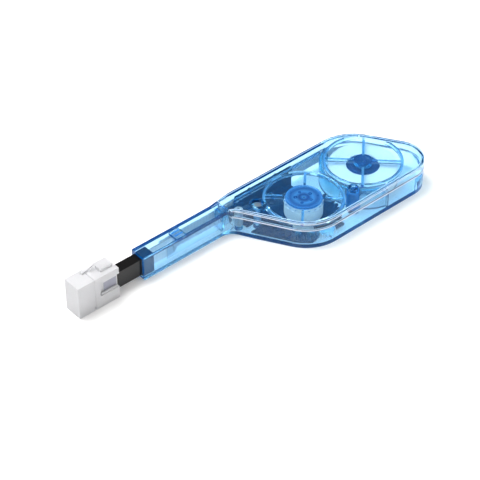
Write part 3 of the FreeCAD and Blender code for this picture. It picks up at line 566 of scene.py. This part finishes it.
def ring_shaded_plastic(name, colour, deep, centre, pitch):
    """Blue plastic with lighter and darker bands round a centre; the darker bands are painted shade that
    marks the moulded ridges.
    """
    made, tree, shader = new_material(name)
    rings = use_group(tree, GROUPS["winding"], Centre=centre, Pitch=pitch)
    mix = tree.nodes.new("ShaderNodeMix")
    mix.data_type = "RGBA"
    mix.inputs["A"].default_value = colour
    mix.inputs["B"].default_value = deep
    tree.links.new(math_node(tree, "MULTIPLY", rings.outputs["Fac"], BAND_CONTRAST), mix.inputs["Factor"])
    tree.links.new(mix.outputs["Result"], shader.inputs["Base Color"])
    shader.inputs["Roughness"].default_value = RINGED_ROUGHNESS
    bump(tree, shader, rings.outputs["Height"], *RINGED_BUMP)
    return made


def facing_painted_reel(name, white, blue, dark, low):
    """Reel coloured by facing and height rather than by part: white sides above a height, upward faces
    painted blue as painted light, and dark below that height.
    """
    made, tree, shader = new_material(name)
    place = tree.nodes.new("ShaderNodeTexCoord")
    split = tree.nodes.new("ShaderNodeSeparateXYZ")
    tree.links.new(place.outputs["Object"], split.inputs["Vector"])
    shape = tree.nodes.new("ShaderNodeNewGeometry")
    facing = tree.nodes.new("ShaderNodeSeparateXYZ")
    tree.links.new(shape.outputs["Normal"], facing.inputs["Vector"])
    # Upward faces are painted blue as painted light, and the reel is painted dark below a height
    up = math_node(tree, "GREATER_THAN", facing.outputs["Z"], UPWARD)
    foot = math_node(tree, "LESS_THAN", split.outputs["Z"], low)
    colour = white
    for mask, other in ((up, blue), (foot, dark)):
        mix = tree.nodes.new("ShaderNodeMix")
        mix.data_type = "RGBA"
        if isinstance(colour, bpy.types.NodeSocket):
            tree.links.new(colour, mix.inputs["A"])
        else:
            mix.inputs["A"].default_value = colour
        mix.inputs["B"].default_value = other
        tree.links.new(mask, mix.inputs["Factor"])
        colour = mix.outputs["Result"]
    grain = grained(tree, shader, "reel", white, REEL_ROUGHNESS)
    tree.links.new(colour, grain.inputs["Colour"])
    return made


def woven_tape(name, colour, centre, pitch):
    """Cleaning tape; round a reel its edges show as fine rings."""
    made, tree, shader = new_material(name)
    rings = use_group(tree, GROUPS["winding"], Centre=centre, Pitch=pitch)
    mix = tree.nodes.new("ShaderNodeMix")
    mix.data_type = "RGBA"
    mix.inputs["A"].default_value = colour
    mix.inputs["B"].default_value = [TAPE_SHADE * c for c in colour[:3]] + [1]
    tree.links.new(rings.outputs["Fac"], mix.inputs["Factor"])
    tree.links.new(mix.outputs["Result"], shader.inputs["Base Color"])
    shader.inputs["Roughness"].default_value = TAPE_ROUGHNESS
    shader.inputs["Sheen Weight"].default_value = TAPE_SHEEN
    bump(tree, shader, rings.outputs["Height"], *TAPE_BUMP)
    return made


def plain_steel(name, colour):
    """Plain steel, bright or blued."""
    made, tree, shader = new_material(name)
    grained(tree, shader, "steel", colour, STEEL[name])
    shader.inputs["Metallic"].default_value = 1.0
    return made


GROUPS = {"grain": moulded_grain(), "winding": winding_lines()}


# ---------------------------------------------------------------- settings


def colour_property(label, text, value):
    """A colour that a user may change."""
    return bpy.props.FloatVectorProperty(
        name=label, description=text, subtype="COLOR", size=4, min=0, max=1, default=value
    )


class PenSettings(bpy.types.PropertyGroup):
    """Colours and small sizes of the pen."""

    case_tint: colour_property("Case tint", "What the clear case lets through", (0.0, 0.79, 1.0, 1))
    case_bloom: colour_property("Case bloom", "Faint glow of the clear case", (0.0, 0.31, 1.0, 1))
    case_skin: colour_property("Case skin", "Tint of the case's surfaces", (0.86, 0.96, 1.0, 1))
    case_density: bpy.props.FloatProperty(
        name="Case density", description="How fast the tint deepens, per metre", default=100.0, min=0
    )
    # Also the dark band painted low on the take-up reel
    black: colour_property("Black plastic", "Nozzle and tape head", (0.0025, 0.0025, 0.003, 1))
    inner: colour_property("Dark plastic", "Carriage, gear and pawl", (0.004, 0.012, 0.030, 1))
    navy: colour_property("Navy plastic", "Supply reel", (0.02, 0.05, 0.16, 1))
    natural: colour_property("Natural plastic", "Take-up reel, roller and rod", (0.80, 0.82, 0.85, 1))
    cap: colour_property("Cap", "Guide cap, its ledges and dust lid", (0.82, 0.825, 0.845, 1))
    tape: colour_property("Tape", "Cleaning tape", (0.90, 0.91, 0.92, 1))
    used: colour_property("Used tape", "Spent tape on its way to the reel", (0.70, 0.86, 1.0, 1))
    # Also painted on the upward faces of the take-up reel, as painted light
    boss: colour_property("Boss face", "Face of the boss, and top of the take-up reel", (0.07, 0.24, 0.52, 1))
    # Painted shade: the darker rings and pocket spots of the boss face, and the dark lines along the case's
    # inner walls
    boss_shade: colour_property("Boss rings", "Rings of the boss face, and rail lines", (0.01, 0.05, 0.20, 1))
    pillar: colour_property("Pillar", "Sleeve of the rear screw, and the stops", (0.10, 0.38, 0.85, 1))
    column: colour_property("Column", "Sleeve of the front screw", (0.35, 0.68, 0.95, 1))
    thin_wall: colour_property("Cap wall", "Thin wall behind the cap's recesses", (0.42, 0.43, 0.52, 1))
    rib: colour_property("Rib edge", "Lower edges of the cover's ribs", (0.36, 0.62, 0.90, 1))
    # Colour of the painted highlight lines along the shells' joint and below the cover's edge
    joint: colour_property("Joint line", "Beads along the case", (0.86, 0.88, 0.97, 1))
    steel: colour_property("Steel", "Screws, pins and spring", (0.86, 0.87, 0.90, 1))
    cool: colour_property("Cool steel", "Cover screw", (0.60, 0.80, 0.95, 1))
    blued: colour_property("Blued steel", "Rear screw", (0.05, 0.16, 0.42, 1))
    edge: bpy.props.FloatProperty(
        name="Edge radius", description="Rounding of moulded edges", unit="LENGTH", default=0.35 * MM
    )


def settings():
    """The scene's pen settings."""
    return bpy.context.scene.pen_settings


# ---------------------------------------------------------------- operators


class PEN_OT_case(bpy.types.Operator):
    """Finish the clear blue case and its two shells"""

    bl_idname = "pen.case"
    bl_label = "Clear case"

    def execute(self, context):
        s = settings()
        for node, name, roughness, bloom_weight in CLEAR:
            clear = clear_plastic(
                name, s.case_skin, roughness, s.case_tint, s.case_density, s.case_bloom, bloom_weight
            )
            soften(dress(node, clear), s.edge)
        return {"FINISHED"}


class PEN_OT_mechanism(bpy.types.Operator):
    """Finish the black nozzle and the dark blue carriage, gear and pawl"""

    bl_idname = "pen.mechanism"
    bl_label = "Slider and gear"

    def execute(self, context):
        s = settings()
        black = moulded_plastic("Black plastic", s.black)
        inner = moulded_plastic("Dark blue plastic", s.inner)
        for node in ("carriage", "drive_gear", "stop_pawl"):
            dress(node, inner)
        dress("tape_head", black)
        soften(dress("nozzle", black), s.edge)
        return {"FINISHED"}


class PEN_OT_reels(bpy.types.Operator):
    """Finish the reels, the roller and the rod"""

    bl_idname = "pen.reels"
    bl_label = "Reels"

    def execute(self, context):
        s = settings()
        natural = milky_plastic("Natural plastic", s.natural)
        for node in ("neck_roller", "guide_rod"):
            dress(node, natural)
        # The take-up reel's blue tops and dark band are painted by facing and height
        dress("take_up_reel", facing_painted_reel("Take-up plastic", s.natural, s.boss, s.black, DARK_BAND_TOP))
        dress("supply_reel", moulded_plastic("Navy plastic", s.navy))
        return {"FINISHED"}


class PEN_OT_details(bpy.types.Operator):
    """Add moulded faces over the hubs, screw sleeves, cap ledges, rib edges and lines of the case"""

    bl_idname = "pen.details"
    bl_label = "Moulded details"

    def execute(self, context):
        s = settings()
        self.add_boss_face()
        self.add_hub_face()
        self.add_axle_face()
        sleeve("pillar_core", "rear_screw", PILLAR_CORNERS, milky_plastic("Blue pillar", s.pillar))
        sleeve("column_core", "cover_screw", COLUMN_CORNERS, milky_plastic("Pale column", s.column))
        self.add_cap_details()
        clip = milky_plastic("Blue clip", s.pillar)
        straight_bead("left_stop", LEFT_STOP, clip)
        straight_bead("right_stop", RIGHT_STOP, clip)
        # Dark lines along the barrel's inner wall edges, as painted shade
        deep = milky_plastic("Painted shade line", s.boss_shade)
        straight_bead("side_wall_shade_line", SIDE_WALL_SHADE_LINE, deep)
        straight_bead("top_wall_shade_line", TOP_WALL_SHADE_LINE, deep)
        self.add_rib_soles(milky_plastic("Blue rib edge", s.rib))
        # Pale beads that paint the highlights along the shells' joint and the cover's edge
        self.add_painted_highlights(milky_plastic("Painted joint highlight", s.joint))
        return {"FINISHED"}

    def add_boss_face(self):
        """Face of the cover's boss just above the take-up hub's rim: rings, spokes, and small dark rings that
        paint the shade of pockets.
        """
        s = settings()
        centre, high = axis_of("take_up_reel")
        # The darker rings of the boss face are painted shade over its moulded ridges
        ringed = ring_shaded_plastic("Blue moulded face", s.boss, s.boss_shade, (*centre, 0), BOSS_PITCH)
        top = high + BOSS_HIGH
        rings = [BOSS_RADIUS * share for share in BOSS_RINGS]

        def face(work):
            ridged_disc(work, centre, BOSS_HOLE, BOSS_RADIUS, high + BOSS_LOW, top, rings, BOSS_RIDGE)
            for turn in range(BOSS_SPOKES):
                angle = math.radians(360 / BOSS_SPOKES * turn + SPOKE_TURN)
                spoke(work, centre, SPOKE_START * BOSS_RADIUS, SPOKE_END * BOSS_RADIUS, angle, SPOKE_WIDTH,
                      top, SPOKE_RISE)

        new_object("boss_face", mesh_from("boss_face", face), "case", ringed)
        # Dark rings on the face that paint the shade of small pockets
        pocket = moulded_plastic("Painted pocket shade", s.boss_shade)

        def pockets(work):
            for turn, share, size in POCKET_SHADES:
                angle = math.radians(turn)
                reach = share * BOSS_RADIUS
                outer = size * MM
                inner = POCKET_HOLE * size * MM
                corners = [(inner, top + POCKET_LOW), (outer, top + POCKET_LOW), (outer, top + POCKET_HIGH),
                           (inner, top + POCKET_HIGH)]
                place = (centre[0] + reach * math.cos(angle), centre[1] + reach * math.sin(angle))
                lathe(work, corners, place, POCKET_STEPS)

        new_object("boss_pocket_shades", mesh_from("boss_pocket_shades", pockets), "case", pocket)

    def add_hub_face(self):
        """Ringed face of the supply hub round its axle."""
        centre, high = axis_of("supply_reel")
        rings = [HUB_RADIUS * share for share in HUB_RINGS]
        mesh = mesh_from("supply_hub_face", lambda work: ridged_disc(
            work, centre, HUB_HOLE, HUB_RADIUS, high + HUB_LOW, high + HUB_HIGH, rings, RIDGE_WIDTH
        ))
        new_object("supply_hub_face", mesh, "supply", bpy.data.materials["Navy plastic"])

    def add_axle_face(self):
        """Dark ringed face on the cover's boss over the supply axle."""
        centre = axis_of("supply_reel")[0]
        low = AXLE_TOP + AXLE_FACE_THICK
        mesh = mesh_from("axle_face", lambda work: ridged_disc(
            work, centre, AXLE_FACE_HOLE, AXLE_FACE_RADIUS, low, low + AXLE_FACE_THICK, AXLE_FACE_RINGS,
            RIDGE_WIDTH
        ))
        new_object("axle_face", mesh, "case", bpy.data.materials["Navy plastic"])

    def add_cap_details(self):
        """Ledges in the cap's side recesses and the thin wall behind them."""
        s = settings()
        white = milky_plastic("White ledge", s.cap)
        wall = milky_plastic("Thin wall of the cap", s.thin_wall)
        for side in (-1, 1):
            for name, level, start, depth in LEDGES:
                cap_block(name, ((start + LEDGE_END) / 2, side * depth, level),
                          (LEDGE_END - start, LEDGE_DEEP, LEDGE_HIGH), LEDGE_EDGE, white)
            x, y, z = WALL_PLACE
            cap_block("recess_wall", (x, side * y, z), WALL_SIZE, WALL_EDGE, wall)

    def add_rib_soles(self, material):
        """Frosted lower edges of the cover's rings and spokes."""
        work = joined("top_cover")
        away = [
            face for face in work.faces
            if face.normal.z > DOWNWARD or abs(face.calc_center_median().z - RIB_LEVEL) > SOLE_SLACK
        ]
        bmesh.ops.delete(work, geom=away, context="FACES")
        rims = bmesh.ops.inset_region(work, faces=work.faces, thickness=SOLE_INSET)["faces"]
        bmesh.ops.delete(work, geom=rims, context="FACES")
        bmesh.ops.translate(work, verts=work.verts, vec=(0, 0, -SOLE_DROP))
        mesh = bpy.data.meshes.new("rib_soles")
        work.to_mesh(mesh)
        work.free()
        soles = new_object("rib_soles", mesh, "case", material)
        thick = soles.modifiers.new("Thickness", "SOLIDIFY")
        thick.thickness = SOLE_THICK
        thick.offset = 1

    def add_painted_highlights(self, material):
        """Pale beads that paint highlights along the joint of the two shells and below the cover's rounded
        edge.
        """
        joint = outer_edge("bottom_shell", JOINT_LEVEL)
        bead("joint_highlight_line", joint, JOINT_HIGHLIGHT_RADIUS, material)
        lift = Vector((0, 0, EDGE_LEVEL - JOINT_LEVEL))
        bead("edge_highlight_line", [point + lift for point in joint], EDGE_HIGHLIGHT_RADIUS, material)


class PEN_OT_tape(bpy.types.Operator):
    """Finish the wound and the running cleaning tape"""

    bl_idname = "pen.tape"
    bl_label = "Cleaning tape"

    def execute(self, context):
        s = settings()
        for node, pitch in WOUND_PITCHES:
            centre = axis_of(node)[0]
            dress(node, woven_tape("Wound " + node.replace("_", " "), s.tape, (*centre, 0), pitch))
        running = woven_tape("Running tape", s.tape, (0, 0, 0), RUNNING_PITCH)
        for node in ("feed_tape_run", "tape_loop"):
            dress(node, running)
        dress("return_tape_run", milky_plastic("Used tape", s.used))
        return {"FINISHED"}


class PEN_OT_cap(bpy.types.Operator):
    """Finish the guide cap and the dust lid"""

    bl_idname = "pen.cap"
    bl_label = "Guide cap"

    def execute(self, context):
        s = settings()
        milky = milky_plastic("Cloudy white plastic", s.cap)
        for node in ("guide_cap", "dust_lid"):
            soften(dress(node, milky), s.edge * CAP_EDGE_SHARE)
        return {"FINISHED"}


class PEN_OT_hardware(bpy.types.Operator):
    """Finish the screws, pins, washer and spring"""

    bl_idname = "pen.hardware"
    bl_label = "Steel parts"

    def execute(self, context):
        s = settings()
        steel = plain_steel("Bright steel", s.steel)
        dress("cover_screw", plain_steel("Cool steel", s.cool))
        for node in ("roller_pin", "lid_pin", "supply_washer"):
            dress(node, steel)
        self.add_spring(steel)
        dress("rear_screw", plain_steel("Blued steel", s.blued))
        return {"FINISHED"}

    def add_spring(self, steel):
        """Return spring between the slider and its fixed back end, as a steel copy of the CAD spring that
        replaces it.
        """
        spring = new_object("coil_spring", NODES["return_spring"].data.copy(), "case", steel)
        spring.data.materials.clear()
        spring.data.materials.append(steel)
        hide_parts("return_spring")
        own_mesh(spring)


class PEN_OT_studio(bpy.types.Operator):
    """Add the pale floor, soft light and camera"""

    bl_idname = "pen.studio"
    bl_label = "Studio"

    def execute(self, context):
        self.add_floor()
        self.add_light()
        self.add_camera()
        context.scene.view_settings.view_transform = "Standard"
        return {"FINISHED"}

    def add_floor(self):
        """A wide pale floor that keeps the shadow, and turns white far from the pen."""
        mesh = mesh_from("Floor", lambda work: bmesh.ops.create_grid(
            work, x_segments=1, y_segments=1, size=FLOOR_SIZE
        ))
        floor = bpy.data.objects.new("Floor", mesh)
        floor.location.z = CAD_LOW[2] - FLOOR_GAP
        bpy.context.scene.collection.objects.link(floor)
        made, tree, shader = new_material("Pale floor")
        shader.inputs["Base Color"].default_value = FLOOR_COLOUR
        shader.inputs["Roughness"].default_value = FLOOR_ROUGHNESS
        shader.inputs["Specular IOR Level"].default_value = 0.0
        path = tree.nodes.new("ShaderNodeLightPath")
        seen = math_node(tree, "MAXIMUM", path.outputs["Is Camera Ray"], path.outputs["Is Glossy Ray"])
        through = math_node(tree, "MULTIPLY", path.outputs["Is Transmission Ray"], FLOOR_THROUGH)
        shader.inputs["Emission Color"].default_value = (1, 1, 1, 1)
        place = tree.nodes.new("ShaderNodeTexCoord")
        reach = tree.nodes.new("ShaderNodeVectorMath")
        reach.operation = "LENGTH"
        tree.links.new(place.outputs["Object"], reach.inputs[0])
        rise = tree.nodes.new("ShaderNodeMapRange")
        tree.links.new(reach.outputs["Value"], rise.inputs["Value"])
        rise.inputs["From Min"].default_value = FLOOR_NEAR
        rise.inputs["From Max"].default_value = FLOOR_FAR
        rise.inputs["To Min"].default_value = FLOOR_SEEN
        rise.inputs["To Max"].default_value = 1.0
        glow = math_node(tree, "MAXIMUM", math_node(tree, "MULTIPLY", seen, rise.outputs["Result"]), through)
        tree.links.new(glow, shader.inputs["Emission Strength"])
        floor.data.materials.append(made)

    def add_light(self):
        """A bright even room and three soft panels."""
        world = bpy.data.worlds.new("Studio room")
        bpy.context.scene.world = world
        world.use_nodes = True
        tree = world.node_tree
        room = tree.nodes["Background"]
        room.inputs["Color"].default_value = ROOM_COLOUR
        room.inputs["Strength"].default_value = ROOM_LEVEL
        white = tree.nodes.new("ShaderNodeBackground")
        white.inputs["Strength"].default_value = 1.0
        path = tree.nodes.new("ShaderNodeLightPath")
        mix = tree.nodes.new("ShaderNodeMixShader")
        tree.links.new(path.outputs["Is Camera Ray"], mix.inputs["Fac"])
        tree.links.new(room.outputs["Background"], mix.inputs[1])
        tree.links.new(white.outputs["Background"], mix.inputs[2])
        tree.links.new(mix.outputs["Shader"], tree.nodes["World Output"].inputs["Surface"])
        for name, place, size, power, mirrored in PANELS:
            lamp = bpy.data.lights.new(name, "AREA")
            lamp.size = size
            lamp.energy = power
            holder = bpy.data.objects.new(name, lamp)
            holder.location = place
            holder.rotation_euler = (-Vector(place)).to_track_quat("-Z", "Y").to_euler()
            holder.visible_glossy = mirrored
            bpy.context.scene.collection.objects.link(holder)

    def add_camera(self):
        """A long lens that looks down on the pen from its nozzle end, on the -Y side."""
        lens = bpy.data.cameras.new("Camera")
        lens.lens = CAMERA_LENS
        lens.sensor_width = CAMERA_SENSOR
        camera = bpy.data.objects.new("Camera", lens)
        level = math.cos(CAMERA_ELEVATION)
        look = Vector((
            math.sin(CAMERA_AZIMUTH) * level, math.cos(CAMERA_AZIMUTH) * level, -math.sin(CAMERA_ELEVATION)
        ))
        aim = Vector((CAD_LOW[0] + AIM_FROM_FRONT, AIM_SIDE, 0))
        camera.location = aim - look * CAMERA_DISTANCE
        camera.rotation_euler = look.to_track_quat("-Z", "Y").to_euler()
        bpy.context.scene.collection.objects.link(camera)
        bpy.context.scene.camera = camera


OPERATORS = (
    PEN_OT_case, PEN_OT_mechanism, PEN_OT_reels, PEN_OT_details, PEN_OT_tape, PEN_OT_cap, PEN_OT_hardware,
    PEN_OT_studio,
)


class PEN_PT_panel(bpy.types.Panel):
    """Lists the pen's groups of pieces"""

    bl_idname = "PEN_PT_panel"
    bl_label = "Cleaning pen"
    bl_space_type = "VIEW_3D"
    bl_region_type = "UI"
    bl_category = "Cleaning pen"

    def draw(self, context):
        for made in OPERATORS:
            self.layout.operator(made.bl_idname)
        for name in PenSettings.__annotations__:
            self.layout.prop(context.scene.pen_settings, name)


CLASSES = (PenSettings, *OPERATORS, PEN_PT_panel)


def register():
    for made in CLASSES:
        bpy.utils.register_class(made)
    bpy.types.Scene.pen_settings = bpy.props.PointerProperty(type=PenSettings)


def unregister():
    del bpy.types.Scene.pen_settings
    for made in reversed(CLASSES):
        bpy.utils.unregister_class(made)


def main():
    register()
    for made in OPERATORS:
        group_name, action = made.bl_idname.split(".")
        getattr(getattr(bpy.ops, group_name), action)()


if __name__ == "__main__":
    main()
